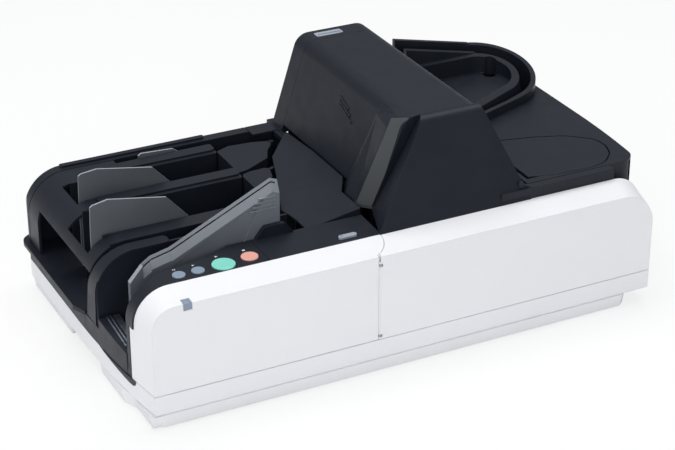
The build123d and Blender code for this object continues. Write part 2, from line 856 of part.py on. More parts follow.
# ---- hood ----
def hood_section(inset=0.0):
    low = hood_bottom - (10.0 if inset else 0.0)
    high = hood_top - inset
    left_shift = inset * math.sqrt(1 + hood_lean_left ** 2)
    right_shift = inset * math.sqrt(1 + hood_lean_right ** 2)

    def left(z):
        return hood_left + hood_lean_left * (z - left_deck) + left_shift

    def right(z):
        return hood_right_top + hood_lean_right * (hood_top - z) - right_shift

    return rounded((left(low), low), (left(high), high), (right(high), high), (right(low), low),
                   radii=[0, hood_round - inset, hood_round - inset, 0])


def parting(shift):
    """Everything in front of the seam between fascia and hood, moved rearwards by shift."""
    foot = hood_seam_foot + shift
    top = foot - hood_seam_lean * (hood_top - left_deck)
    low = Vector(0, foot, left_deck)
    return half_space(low, Vector(1, foot, left_deck), Vector(0, top, hood_top))


def make_hood_cover():
    outer = along_y(hood_section(), 60, strip_front - seam) - parting(0)
    inner = along_y(hood_section(wall), 60, strip_front - seam - wall) - parting(wall)
    shell = outer - inner
    for y in hinge_places():
        barrel = rod_y(hood_hinge_x, hood_hinge_z, y, y + knuckle_length, knuckle)
        arm = along_y(polygon((426.5, 151), (hood_hinge_x, 151), (hood_hinge_x, 158), (424.5, 158)), y, y + knuckle_length)
        shell += barrel + (arm - inner)
        shell -= rod_y(hood_hinge_x, hood_hinge_z, y - 1, y + knuckle_length + 1, hood_pin + pin_fit)
    for i in range(3):
        shell += grip_rib(i)
    return shell


def grip_rib(i):
    """Slanting ridge on the hood's left face."""
    low = 200.0 + 4.2 * i
    face_x = hood_left + hood_lean_left * (low - left_deck)
    lean = math.degrees(math.atan(hood_lean_left))
    bar = Box(2.0, 34.0 - 5 * i, 1.8)
    return Pos(face_x, 186.0 + 4 * i, low) * Rot(0, lean, 0) * Rot(16, 0, 0) * bar


def hinge_places():
    return [122.0, 250.0]


def make_hinge_brackets():
    length = 8.0
    solids = []
    foot = rounded((bed_right + seam, right_deck), (hood_hinge_x + knuckle, right_deck), (hood_hinge_x + knuckle, hood_hinge_z),
                   (bed_right + seam, hood_hinge_z), radii=[0, 0, 0, 0])
    outline = foot + Pos(hood_hinge_x, hood_hinge_z) * Circle(knuckle)
    for y in hinge_places():
        for front in (y - length - seam, y + knuckle_length + seam):
            ear = along_y(outline, front, front + length)
            solids.append(ear - rod_y(hood_hinge_x, hood_hinge_z, front - 1, front + length + 1, hood_pin))
    return Compound(solids)


def make_hinge_pins():
    pins = [make_door_pin()]
    x, z = lid_axis()
    pins += [rod_y(x, z, y - 6, y + 16, lid_pin) for y in lid_ears()]
    for y in hinge_places():
        pins.append(rod_y(hood_hinge_x, hood_hinge_z, y - 8, y + knuckle_length + 8, hood_pin))
    return Compound(pins)


def fin_solid():
    low = left_deck + seam

    def left(z):
        return fin_left + fin_lean * (z - left_deck)

    def right(z):
        return hood_left + hood_lean_left * (z - left_deck)

    high = 233.0
    body = along_y(polygon((left(low), low), (left(high), high), (right(high), high), (right(low), low)), 60, 160)
    body -= parting(0)
    lean = Vector(fin_lean, 0, 1)
    rear_a = Vector(left(low), fin_front_rear, low)
    rear_b = Vector(right(low), fin_front_rear + 26, low)
    body -= half_space(rear_a, rear_a + lean, rear_b)
    return body


def facet_planes(depth):
    """Cuts the fin's front left edge at 45 degrees, deeper by depth."""
    low = left_deck
    a = Vector(fin_left, hood_seam_foot + facet + depth, low)
    b = Vector(fin_left + facet + depth, hood_seam_foot, low)
    lean = Vector(fin_lean, -hood_seam_lean, 1)
    return half_space(a, b, a + lean)


def make_hood_fin():
    return fin_solid() - facet_planes(3.0)


def make_hood_facet():
    return (fin_solid() - facet_planes(0.0)) & facet_planes(3.0)


def make_hood_strip():
    outer = along_y(strip_section(0.0), strip_front, strip_back)
    inner = along_y(strip_section(wall), strip_front + wall, strip_back - wall)
    shell = outer - inner
    shell -= slab(latch_plan(fit), hood_top - 10, hood_top + 1)
    return shell


def strip_section(inset):
    low = left_deck if inset == 0 else left_deck - 10
    tall = hood_section(inset)
    section = tall
    left = hood_left + inset * 1.1
    right = hood_right_top + hood_lean_right * (hood_top - left_deck) - inset * 1.1
    section += polygon((left, low), (right, low), (right - hood_lean_right * 9, left_deck + 9),
                       (left + hood_lean_left * 9, left_deck + 9))
    return section


def latch_plan(extra=0.0):
    centre_x = latch_x + latch_length / 2
    return Pos(centre_x, strip_front + strip_depth / 2) * RectangleRounded(
        latch_length + 2 * extra, latch_depth + 2 * extra, 2.0 + extra)


def make_hood_latch():
    under = hood_top - wall
    cap = slab(latch_plan(), under, hood_top)
    cap -= slab(Pos(0, -2.5) * offset(latch_plan(), -2.5), hood_top - 1.0, hood_top + 1)
    return cap + slab(latch_plan(1.5), under - button_flange, under)


# ---- fascia on the door ----
def fascia_form(inset=0.0):
    high = hood_top - inset
    form = block(200, 480, 20, 120, left_deck - (5 if inset else 0), high)
    front_low = Vector(0, 33.0, left_deck)
    front_high = Vector(0, 33.0 + fascia_lean_back * (hood_top - left_deck), hood_top)
    planes = [
        (front_low, Vector(1, 33.0, left_deck), front_high),
        (Vector(258, 33, left_deck), Vector(318, 65, 230), Vector(277, 86, left_deck)),
        (Vector(hood_right_top, 0, hood_top), Vector(hood_right_top, 1, hood_top),
         Vector(hood_right_top + hood_lean_right * 100, 0, left_deck)),
    ]
    for a, b, c in planes:
        normal = (b - a).cross(c - a).normalized()
        if normal.dot(Vector(345, 60, 180) - a) > 0:
            b, c = c, b
            normal = normal * -1
        shift = normal * -inset
        form -= half_space(a + shift, b + shift, c + shift)
    if inset:
        return form
    return form & parting(-seam)


def make_fascia():
    outer = fascia_form()
    top_edges = outer.faces().sort_by(Axis.Z)[-1].edges()
    outer = fillet(top_edges.sort_by(Axis.Y)[0], fascia_round)
    shell = outer - fascia_form(wall)
    shell -= block(300, 480, band_depth + 10.4, 120, 0, right_deck + seam)
    strip = block(400, strip_right, band_depth + seam, strip_rear, left_deck, right_deck)
    strip = fillet(strip.edges().filter_by(Axis.Z).sort_by(Axis.X)[-1], 4)
    foot = Vector(hood_right_top + hood_lean_right * (hood_top - right_deck), 0, right_deck)
    reach = fascia_fillet * 0.66
    slope = Vector(-hood_lean_right, 0, 1).normalized()
    t1 = (foot.X + reach, right_deck)
    t2 = (foot.X + slope.X * reach, right_deck + slope.Z * reach)
    middle = Vector(t1[0], 0, right_deck + fascia_fillet)
    towards = (foot - middle).normalized() * fascia_fillet + middle
    arc = ThreePointArc(t1, (towards.X, towards.Z), t2)
    web = make_face([Line((foot.X - 8, right_deck), t1), arc, Polyline(t2, (foot.X - 8, t2[1]), (foot.X - 8, right_deck))])
    return shell + strip + along_y(web, band_depth + 3, strip_rear)


# ---- door hinge ----
def make_door_bracket():
    x, y = door_axis()
    post = block(x - 4, x + 2, y + 4.5, y + 9, plate_height + plate_thickness, ear_heights()[1] + ear_thickness)
    for low in ear_heights():
        ear = rod(x, y, low, low + ear_thickness, hinge_inset - 0.2)
        ear += block(x - hinge_inset + 0.2, x + hinge_inset - 0.2, y, y + 5, low, low + ear_thickness)
        post += ear
    foot = block(x - 14, x + 12, y + 4.5, y + 16, plate_height + plate_thickness, plate_height + plate_thickness + 2)
    return post + foot - rod(x, y, 0, hood_top, door_pin)


def make_door_pin():
    x, y = door_axis()
    return rod(x, y, tray_rim + 1, ear_heights()[1] + ear_thickness + 1.5, door_pin)


# ---- right deck, lid, turning track ----
def make_right_deck():
    region = Pos(bed_right + seam + 100, (deck_front + 400) / 2) * Rectangle(200, 400 - deck_front)
    outline = plan() & region
    outer = slab(outline, tray_rim, right_deck)
    corner = outer.edges().filter_by(Axis.Z).sort_by(lambda edge: edge.center().Y - edge.center().X)[0]
    outer = fillet(corner, deck_corner)
    side = slab(plan(wall), tray_rim - 1, right_deck - deck_thickness)
    side &= block(bed_right - 5, 700, deck_front + wall, 400, 0, 300)
    shell = outer - side
    shell -= block(500, 700, 0, end_return + seam, 0, cover_return_top + seam)
    shell -= slab(lid_outline(lid_gap), 0, 300)
    shell += slab(lid_outline(lid_gap + 1) - lid_outline(-2.0), right_deck - 2 * deck_thickness,
                  right_deck - deck_thickness)
    shell -= block(lid_left - 4, lid_left + 12, lid_front - lid_relief, lid_rear + lid_relief,
                   right_deck - 3 * deck_thickness, right_deck + 1)
    shell += lid_bearings()
    return shell - slab(turn_outline(turn_radius - wall - seam, turn_left - seam), right_deck - 20, right_deck + 1)


def lid_outline(extra=0.0):
    points = [(lid_left, lid_front), (475, 51), (519, 48.5), (538, 53), (554, 69), (560.5, 87), (558.5, 106),
              (535, 127), (504, 139), (471, 147), (lid_left, lid_rear)]
    edge = rounded(*points, radii=[2, 60, 40, 26, 22, 18, 18, 30, 60, 60, 2])
    return offset(edge, extra) if extra else edge


def lid_axis():
    return lid_left + 4.0, right_deck - lid_thickness - 2.5


def lid_ears():
    return [74.0, 128.0]


def lid_bearings():
    x, z = lid_axis()
    solids = None
    for y in lid_ears():
        for front in (y - 6.4, y + 10.4):
            ear = rod_y(x, z, front, front + 6, lid_eye) + block(x - lid_eye, x + lid_eye, front, front + 6, z - 8, z)
            ear += block(x - 12, x + lid_eye, front, front + 6, z - 8, z - 4)
            ear += block(x - 12, x - 8.4, front, front + 6, z - 8, right_deck - 1)
            ear -= rod_y(x, z, front - 1, front + 7, lid_pin)
            solids = ear if solids is None else solids + ear
    return solids


def make_lid():
    x, z = lid_axis()
    lid = slab(lid_outline(), right_deck - lid_thickness, right_deck)
    lid = chamfer(lid.edges().group_by(Axis.Z)[-1], 0.6)
    for y in lid_ears():
        lid += rod_y(x, z, y, y + 10, 3.0) + block(x - 3, x + 3, y, y + 10, z, right_deck - 1)
    for y in lid_ears():
        lid -= rod_y(x, z, y - 1, y + 11, lid_pin + pin_fit)
    return lid


def turn_outline(radius, left):
    """Plan of the turning track: a half round with a slanted front leg and a straight rear leg."""
    angle = math.radians(leg_angle)
    touch = (turn_x + radius * math.sin(angle), turn_y - radius * math.cos(angle))
    front_left = (left, touch[1] - (touch[0] - left) * math.tan(angle))
    rear = turn_y + radius
    arc = ThreePointArc((turn_x, rear), (turn_x + radius * math.cos(math.radians(5)),
                                         turn_y + radius * math.sin(math.radians(5))), touch)
    return make_face([Polyline(touch, front_left, (left, rear), (turn_x, rear)), arc])


def turn_top(drop=0.0):
    """Solid below the tilted top of the turning track."""
    high_y = body_depth + 4
    profile = polygon((150, 0), (150, turn_front_height - drop), (turn_front_y, turn_front_height - drop),
                      (high_y, turn_front_height - drop + island_slope * (high_y - turn_front_y)), (high_y, 0))
    return along_x(profile, 400, 620)


def ramp(front, rear, left, drop=0.0):
    """Rear wall of the track, which rises towards the hood."""
    base = turn_front_height + island_slope * (body_depth - turn_front_y) - drop
    profile = polygon((left, right_deck), (left, base + ramp_slope * (ramp_x - left)), (ramp_x, base),
                      (ramp_x, right_deck))
    return along_y(profile, front, rear)


def make_turn_wall():
    outer = turn_radius
    inner = turn_radius - turn_lip
    shaft_out = turn_radius - wall - 2 * seam
    left = turn_left
    wall_part = slab(turn_outline(outer, left) - turn_outline(inner, left - 9), right_deck, 220) & turn_top()
    wall_part += slab(turn_outline(shaft_out, left) - turn_outline(inner, left - 9), track_floor - 1, right_deck + 1)
    wall_part += slab(turn_outline(shaft_out, left), track_floor - wall, track_floor)
    wall_part += ramp(turn_y + inner, body_depth, turn_rear_left)
    return wall_part


def make_island():
    radius = turn_radius - turn_lip - track_gap
    left = turn_left
    lower = slab(turn_outline(radius, left), track_floor, right_deck)
    upper = loft([Pos(0, 0, right_deck) * turn_outline(radius, left), Pos(0, 0, 196) * turn_outline(radius - 9, left)],
                 ruled=True)
    body = lower + (upper & turn_top(1.0))
    body += ramp(turn_y + radius - 7, turn_y + radius, turn_rear_left + 6, drop=6.0)
    rim = turn_outline(radius - recess_rim - 3, left + 10)
    body -= slab(rim, recess_floor, 230)
    body -= slab(turn_outline(radius - wall, left + wall), track_floor - 1, recess_floor - wall)
    body -= rod(540, 296, 100, 230, recess_hole)
    return body


# ---- inside and rear ----
def make_rear_panel():
    left = stacker_right + seam
    right = bed_right
    panel = block(left, right, body_depth - wall, body_depth, tray_rim, left_deck)
    panel += block(left, right, strip_front, body_depth, left_deck - wall, left_deck)
    panel -= block(inlet_x - fit, inlet_x + inlet_width + fit, 300, 400, inlet_z - fit, inlet_z + inlet_height + fit)
    panel -= block(port_x - fit, port_x + 12 + fit, 300, 400, inlet_z - fit, inlet_z + 11 + fit)
    panel -= block(switch_x - fit, switch_x + 22 + fit, 300, 400, inlet_z - fit, inlet_z + 15 + fit)
    for i in range(8):
        x = left + 16 + 7.0 * i
        panel -= block(x, x + 3, 300, 400, 96, 122)
    return panel


def make_power_inlet():
    front = body_depth - 16
    body = block(inlet_x, inlet_x + inlet_width, front, body_depth, inlet_z, inlet_z + inlet_height)
    body -= block(inlet_x + 3, inlet_x + inlet_width - 3, front + 3, body_depth + 1, inlet_z + 3, inlet_z + inlet_height - 3)
    for i in range(3):
        x = inlet_x + inlet_width / 2 + 7 * (i - 1)
        z = inlet_z + inlet_height / 2 + (2.5 if i == 1 else -2.5)
        body += rod_y(x, z, front + 2, body_depth - 3, 1.4)
    flange = block(inlet_x - 3, inlet_x + inlet_width + 3, body_depth - wall - 2, body_depth - wall, inlet_z - 3,
                   inlet_z + inlet_height + 3)
    cavity = block(inlet_x + 3, inlet_x + inlet_width - 3, front + 3, body_depth + 1, inlet_z + 3, inlet_z + inlet_height - 3)
    return body + (flange - cavity)


def make_data_port():
    front = body_depth - 14
    body = block(port_x, port_x + 12, front, body_depth, inlet_z, inlet_z + 11)
    body -= block(port_x + 1.5, port_x + 10.5, front + 4, body_depth + 1, inlet_z + 1.5, inlet_z + 9.5)
    body += block(port_x + 4, port_x + 8, front + 3, body_depth - 2, inlet_z + 4, inlet_z + 7)
    return body + block(port_x - 4, port_x + 16, front, front + 2, inlet_z - 4, inlet_z + 15)


def make_switch_frame():
    front = body_depth - 12
    frame_part = block(switch_x, switch_x + 22, front, body_depth - 0.5, inlet_z, inlet_z + 15)
    frame_part -= block(switch_x + 1.5, switch_x + 20.5, front + 1.5, body_depth, inlet_z + 1.5, inlet_z + 13.5)
    pin_z = inlet_z + 7.5
    return frame_part + along_x(Pos(body_depth - 5, pin_z) * Circle(1.0), switch_x + 1, switch_x + 21)


def make_rocker():
    low = inlet_z + 2.4
    high = inlet_z + 12.6
    middle = (low + high) / 2
    rear = body_depth - 0.2
    profile = polygon((body_depth - 7, low + 1.5), (rear - 1.6, low), (rear - 0.9, middle), (rear, high - 0.8), (rear - 0.8, high),
                      (body_depth - 7, high - 1.5))
    rocker = along_x(profile, switch_x + 2.0, switch_x + 20.0)
    return rocker - along_x(Pos(body_depth - 5, middle) * Circle(1.0 + pin_fit), switch_x, switch_x + 22)


def make_motor():
    low = plate_height + plate_thickness
    body = rod(motor_x, motor_y, low, low + 34, 18.0)
    body = fillet(body.edges().group_by(Axis.Z)[-1], 2.0)
    body += rod(motor_x, motor_y, low + 30, low + 44, 2.5)
    return body + block(motor_x - 22, motor_x + 22, motor_y - 12, motor_y + 12, low, low + 3)


def make_main_board():
    low = plate_height + plate_thickness
    board = block(300, 420, 215, 300, low + 6, low + 7.6)
    for x, y in ((306, 221), (414, 221), (306, 294), (414, 294)):
        board += rod(x, y, low, low + 7, 3.0)
    for x, y, width, depth in ((340, 240, 24, 24), (380, 236, 14, 20), (320, 275, 30, 12), (385, 275, 20, 16)):
        board += block(x, x + width, y, y + depth, low + 7, low + 10.5)
    return board


def make_power_supply():
    low = plate_height + plate_thickness
    body = block(456, 546, 90, 160, low, low + 30)
    body = fillet(body.edges().filter_by(Axis.Z), 3.0)
    for i in range(8):
        x = 464 + 10 * i
        body -= block(x, x + 4, 100, 150, low + 28.5, low + 31)
    return body


# ---- assembly ----
def centre():
    """Middle of the footprint, which the stacker's ledge widens on the left."""
    return (body_length - ledge_reach) / 2, body_depth / 2


def export(name, shape):
    x, y = centre()
    shape = Pos(-x, -y, 0) * shape
    shape.label = name
    export_step(shape, "parts/" + name + ".step")


PARTS = {
    "base_tray": make_base_tray,
    "rubber_feet": make_rubber_feet,
    "chassis_plate": make_chassis_plate,
    "plate_screws": make_screws,
    "front_cover": make_front_cover,
    "status_window": make_status_window,
    "front_door": make_front_door,
    "hopper_tub": make_hopper_tub,
    "hopper_rails": make_hopper_rails,
    "hopper_wall": make_hopper_wall,
    "pusher_plate": make_pusher,
    "operator_panel": make_operator_panel,
    "button_board": make_button_board,
    "feed_panel": make_feed_panel,
    "deck_tab": make_deck_tab,
    "pocket_housing": make_pocket_housing,
    "stacker_floor": make_stacker_floor,
    "rear_cover": make_rear_cover,
    "transport_bed": make_transport_bed,
    "transport_cover": make_transport_cover,
    "magnetic_head": make_magnetic_head,
    "entry_cover": make_entry_cover,
    "hood_cover": make_hood_cover,
    "hood_fin": make_hood_fin,
    "hood_facet": make_hood_facet,
    "hood_rear_strip": make_hood_strip,
    "hood_latch": make_hood_latch,
    "hood_brackets": make_hinge_brackets,
    "hinge_pins": make_hinge_pins,
    "image_sensors": make_image_sensors,
    "guide_wings": make_wings,
    "door_fascia": make_fascia,
    "door_bracket": make_door_bracket,
    "right_deck": make_right_deck,
    "oval_lid": make_lid,
    "turn_wall": make_turn_wall,
    "turn_island": make_island,
    "rear_panel": make_rear_panel,
    "power_inlet": make_power_inlet,
    "data_port": make_data_port,
    "switch_frame": make_switch_frame,
    "power_rocker": make_rocker,
    "main_motor": make_motor,
    "main_board": make_main_board,
    "power_supply": make_power_supply,
}

os.makedirs("parts", exist_ok=True)
for part_name, maker in PARTS.items():
    export(part_name, maker())
for part_name, key in panel_keys().items():
    export(part_name, make_round_key(*key))
for number in range(3):
    export("pocket_plate_" + str(number + 1), make_pocket_plate(number))
for number in range(2):
    export("sorter_gate_" + str(number + 1), make_gate(number))
export("feed_roller", make_roller_set(feed_x, feed_y(), drive_radius, hopper_floor - tub_floor))
export("separation_roller", make_roller_set(*separation_place(), drive_radius, bed_top - bed_thickness))
for number, place in enumerate(drive_places()):
    export("drive_roller_" + str(number + 1), make_roller_set(*place, drive_radius, bed_top - bed_thickness))
for number, place in enumerate(pinch_places()):
    export("pinch_roller_" + str(number + 1), make_roller_set(*place, pinch_radius, bed_top - bed_thickness))
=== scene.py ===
import math

import bmesh
import bpy
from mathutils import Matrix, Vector


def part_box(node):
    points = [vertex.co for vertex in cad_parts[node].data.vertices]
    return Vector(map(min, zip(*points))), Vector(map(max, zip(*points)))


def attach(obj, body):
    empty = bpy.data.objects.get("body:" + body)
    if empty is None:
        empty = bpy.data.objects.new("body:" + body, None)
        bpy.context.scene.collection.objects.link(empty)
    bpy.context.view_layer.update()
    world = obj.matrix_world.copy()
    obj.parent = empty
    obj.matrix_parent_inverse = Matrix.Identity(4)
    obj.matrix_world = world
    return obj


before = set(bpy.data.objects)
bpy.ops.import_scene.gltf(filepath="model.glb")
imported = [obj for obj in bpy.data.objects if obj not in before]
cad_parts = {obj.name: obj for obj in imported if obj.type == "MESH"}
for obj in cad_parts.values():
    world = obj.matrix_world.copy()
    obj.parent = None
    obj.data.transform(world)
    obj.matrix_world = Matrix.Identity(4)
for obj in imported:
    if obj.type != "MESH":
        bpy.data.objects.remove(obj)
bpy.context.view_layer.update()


# ---- materials ----
GRAIN_DEPTH = 0.00003      # metres
GRAIN_SCALE = 2200.0
RUBBED = (0.16, 0.165, 0.17)
# painted highlight: a lighter colour laid on the grey plates' upward faces, standing in for the light that
# falls on them
PAINTED_TOP_HIGHLIGHT = (0.36, 0.39, 0.43)  # edges and faces of the grey plates that look up


class Nodes:
    """Short way to build a node tree."""

    def __init__(self, name):
        self.mat = bpy.data.materials.new(name)
        self.mat.use_nodes = True
        self.tree = self.mat.node_tree
        self.tree.nodes.clear()
        self.out = self.add("ShaderNodeOutputMaterial")
        self.coords = self.add("ShaderNodeTexCoord").outputs["Object"]

    def add(self, kind, **values):
        node = self.tree.nodes.new(kind)
        for key, value in values.items():
            setattr(node, key, value)
        return node

    def link(self, source, target):
        self.tree.links.new(source, target)

    def noise(self, scale, detail=2.0, rough=0.5):
        node = self.add("ShaderNodeTexNoise")
        node.inputs["Scale"].default_value = scale
        node.inputs["Detail"].default_value = detail
        node.inputs["Roughness"].default_value = rough
        self.link(self.coords, node.inputs["Vector"])
        return node.outputs["Fac"]

    def spread(self, value, low, high):
        """Maps 0.3..0.7 of a noise to low..high."""
        node = self.add("ShaderNodeMapRange")
        node.inputs["From Min"].default_value = 0.3
        node.inputs["From Max"].default_value = 0.7
        node.inputs["To Min"].default_value = low
        node.inputs["To Max"].default_value = high
        self.link(value, node.inputs["Value"])
        return node.outputs["Result"]

    def mix(self, factor, first, second):
        node = self.add("ShaderNodeMix", data_type="RGBA")
        self.link(factor, node.inputs[0])
        node.inputs[6].default_value = (*first, 1.0)
        node.inputs[7].default_value = (*second, 1.0)
        return node.outputs[2]


    def over(self, under, color, factor):
        node = self.add("ShaderNodeMix", data_type="RGBA")
        self.link(factor, node.inputs[0])
        self.link(under, node.inputs[6])
        node.inputs[7].default_value = (*color, 1.0)
        return node.outputs[2]

    def painted_highlight_mask(self):
        """Mask for the painted highlight: 1 on faces that look up, 0 on the others."""
        split = self.add("ShaderNodeSeparateXYZ")
        self.link(self.add("ShaderNodeNewGeometry").outputs["True Normal"], split.inputs[0])
        node = self.add("ShaderNodeMapRange")
        node.inputs["From Min"].default_value = 0.25
        node.inputs["From Max"].default_value = 0.75
        self.link(split.outputs["Z"], node.inputs["Value"])
        return node.outputs["Result"]

    def scuffs(self, amount):
        """Sparse faint rub marks."""
        node = self.add("ShaderNodeMapRange")
        node.inputs["From Min"].default_value = 0.62
        node.inputs["From Max"].default_value = 0.80
        node.inputs["To Max"].default_value = amount
        self.link(self.noise(140.0, 8.0, 0.75), node.inputs["Value"])
        return node.outputs["Result"]


def moulded(name, color, rough=0.45, edge=0.0006, specular=0.5, metal=0.0, shade=0.9, top=None, worn=0.0):
    """Moulded or pressed part: fine grain, faint mottle, softened edges.

    shade is how dark the mottle gets, top a lighter colour painted on faces that look up as a painted
    highlight, worn the strength of rub marks.
    """
    n = Nodes(name)
    shader = n.add("ShaderNodeBsdfPrincipled")
    darker = tuple(channel * shade for channel in color)
    tone = n.mix(n.spread(n.noise(22.0, 4.0), 0.0, 1.0), darker, color)
    # painted highlight: faces that look up take the top colour, standing in for the light that falls on them
    if top:
        tone = n.over(tone, top, n.painted_highlight_mask())
    if worn:
        tone = n.over(tone, RUBBED, n.scuffs(worn))
    n.link(tone, shader.inputs["Base Color"])
    n.link(n.spread(n.noise(60.0, 5.0), rough - 0.05, rough + 0.05), shader.inputs["Roughness"])
    shader.inputs["Specular IOR Level"].default_value = specular
    shader.inputs["Metallic"].default_value = metal
    bump = n.add("ShaderNodeBump")
    bump.inputs["Strength"].default_value = 1.0
    bump.inputs["Distance"].default_value = GRAIN_DEPTH
    n.link(n.noise(GRAIN_SCALE, 1.0), bump.inputs["Height"])
    if edge:
        bevel = n.add("ShaderNodeBevel", samples=4)
        bevel.inputs["Radius"].default_value = edge
        n.link(bevel.outputs["Normal"], bump.inputs["Normal"])
    n.link(bump.outputs["Normal"], shader.inputs["Normal"])
    n.link(shader.outputs["BSDF"], n.out.inputs["Surface"])
    return n.mat


BLACK = moulded("charcoal_plastic", (0.0115, 0.0145, 0.0225), rough=0.43, shade=0.86, specular=0.27, worn=0.06)
WHITE = moulded("white_plastic", (0.86, 0.865, 0.885), rough=0.48, shade=0.985, edge=0.0009)
# the grey plates carry a painted highlight on the faces that look up
LIGHT = moulded("light_gray_plastic", (0.135, 0.150, 0.175), rough=0.45, shade=0.93, top=PAINTED_TOP_HIGHLIGHT, worn=0.06)
SMOKE = moulded("smoke_gray_plastic", (0.120, 0.134, 0.150), rough=0.36, top=PAINTED_TOP_HIGHLIGHT, worn=0.10)
STRIP = moulded("gray_strip", (0.062, 0.068, 0.072), rough=0.5, worn=0.08)
KEY = moulded("key_gray", (0.36, 0.40, 0.47), rough=0.35)
SMALL = moulded("small_key", (0.25, 0.33, 0.42), rough=0.3)
MINT = moulded("mint_key", (0.25, 0.74, 0.62), rough=0.3)
SALMON = moulded("salmon_key", (0.88, 0.43, 0.35), rough=0.3)
WINDOW = moulded("indicator", (0.27, 0.33, 0.42), rough=0.25)
PRINT = moulded("print_white", (0.62, 0.64, 0.67), rough=0.6, edge=0.0)
RUBBER = moulded("rubber", (0.02, 0.02, 0.021), rough=0.75, edge=0.0)
SHEET = moulded("zinc_sheet", (0.45, 0.46, 0.47), rough=0.38, metal=1.0)
STEEL = moulded("ground_steel", (0.42, 0.48, 0.54), rough=0.28, metal=1.0, edge=0.0)
BOARD = moulded("solder_mask", (0.02, 0.14, 0.06), rough=0.35, edge=0.0)
SENSOR = moulded("sensor_bar", (0.015, 0.016, 0.02), rough=0.15, edge=0.0)

PAINT = {
    WHITE: ["base_tray", "front_cover", "front_door"],
    LIGHT: ["pusher_plate"],
    SMOKE: ["pocket_plate_1", "pocket_plate_2", "pocket_plate_3"],
    STRIP: ["hood_facet"],
    KEY: ["deck_tab", "hood_latch"],
    SMALL: ["jog_button", "forward_button"],
    MINT: ["start_button"],
    SALMON: ["stop_button"],
    WINDOW: ["status_window"],
    RUBBER: ["rubber_feet", "feed_roller", "separation_roller", "drive_roller_1", "drive_roller_2",
             "pinch_roller_1", "pinch_roller_2"],
    SHEET: ["chassis_plate", "door_bracket", "hood_brackets", "main_motor", "power_supply"],
    STEEL: ["hopper_rails", "plate_screws", "hinge_pins", "magnetic_head", "data_port"],
    BOARD: ["button_board", "main_board"],
    SENSOR: ["image_sensors"],
}


def paint():
    chosen = {node: mat for mat, nodes in PAINT.items() for node in nodes}
    for name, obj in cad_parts.items():
        obj.data.materials.clear()
        obj.data.materials.append(chosen.get(name, BLACK))


paint()


# ---- pieces that the CAD nodes lack; sizes in mm from the front left corner of the front cover ----
middle_x = 279.75          # the frame's origin, seen from that corner
middle_y = 168.0
end_flare = 13.5           # each end stands out this much from flare_depth on
flare_depth = 150.0
deck_height = 137.0        # left deck
foot_right = 542.0         # right end of the tray's foot
foot_rear = 331.5
foot_inset = 2.6           # its left end lies this far inside the body's outline
foot_corner = 7.0
hand_front = 123.0         # hand recess on the left
hand_rear = 209.0
hand_depth = 15.0
ledge_right = 10.4
ledge_rear = 114.4
rail_front = 62.0
rail_rear = 113.8
rail_radius = 1.1
lap_top = 38.2             # upper edge of the lap over the tray's left rim
lap_skin = 0.3
hood_lean = 0.378          # sideways lean of the strip's edges
hood_back = 0.1            # and their lean to the front


def spot(x, y, z):
    """A place in the frame, from millimetres."""
    return Vector(((x - middle_x) / 1000, (y - middle_y) / 1000, z / 1000))


def finish_piece(name, build, mat, body, bevel):
    """Turns a finished bmesh into an object that rides on its body."""
    mesh = bpy.data.meshes.new(name)
    build.to_mesh(mesh)
    build.free()
    obj = bpy.data.objects.new(name, mesh)
    obj.data.materials.append(mat)
    bpy.context.collection.objects.link(obj)
    if bevel:
        edge = obj.modifiers.new("edge", "BEVEL")
        edge.width = bevel / 1000
        edge.segments = 3
        edge.limit_method = "ANGLE"
        edge.angle_limit = math.radians(18)
    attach(obj, body)
    return obj


def hull(name, points, mat, body="root", bevel=0.6):
    """Solid round a cloud of points."""
    build = bmesh.new()
    for point in points:
        build.verts.new(spot(*point))
    result = bmesh.ops.convex_hull(build, input=build.verts)
    unused = result["geom_interior"] + result["geom_unused"]
    spare = {item for item in unused if isinstance(item, bmesh.types.BMVert)}
    bmesh.ops.delete(build, geom=list(spare), context="VERTS")
    bmesh.ops.dissolve_limit(build, angle_limit=math.radians(1.0), verts=build.verts, edges=build.edges)
    return finish_piece(name, build, mat, body, bevel)


def prism(name, low, high, mat, body="root", bevel=0.6):
    """Solid between two rings of as many points."""
    build = bmesh.new()
    rings = [[build.verts.new(spot(*point)) for point in ring] for ring in (low, high)]
    build.faces.new(reversed(rings[0]))
    build.faces.new(rings[1])
    for i in range(len(low)):
        j = (i + 1) % len(low)
        build.faces.new((rings[0][i], rings[0][j], rings[1][j], rings[1][i]))
    bmesh.ops.recalc_face_normals(build, faces=build.faces)
    return finish_piece(name, build, mat, body, bevel)


def rod_piece(name, start, end, radius, mat, body="root"):
    """Round rod between two places."""
    a, b = spot(*start), spot(*end)
    length = (b - a).length
    bpy.ops.mesh.primitive_cylinder_add(vertices=24, radius=radius / 1000, depth=length, location=(a + b) / 2)
    obj = bpy.context.object
    obj.name = name
    obj.rotation_mode = "QUATERNION"
    obj.rotation_quaternion = (b - a).to_track_quat("Z", "Y")
    obj.data.materials.append(mat)
    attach(obj, body)
    return obj


def flare(y):
    """How far the ends stand out at a depth."""
    if y >= flare_depth:
        return end_flare
    return end_flare * (1 - ((flare_depth - y) / flare_depth) ** 2)


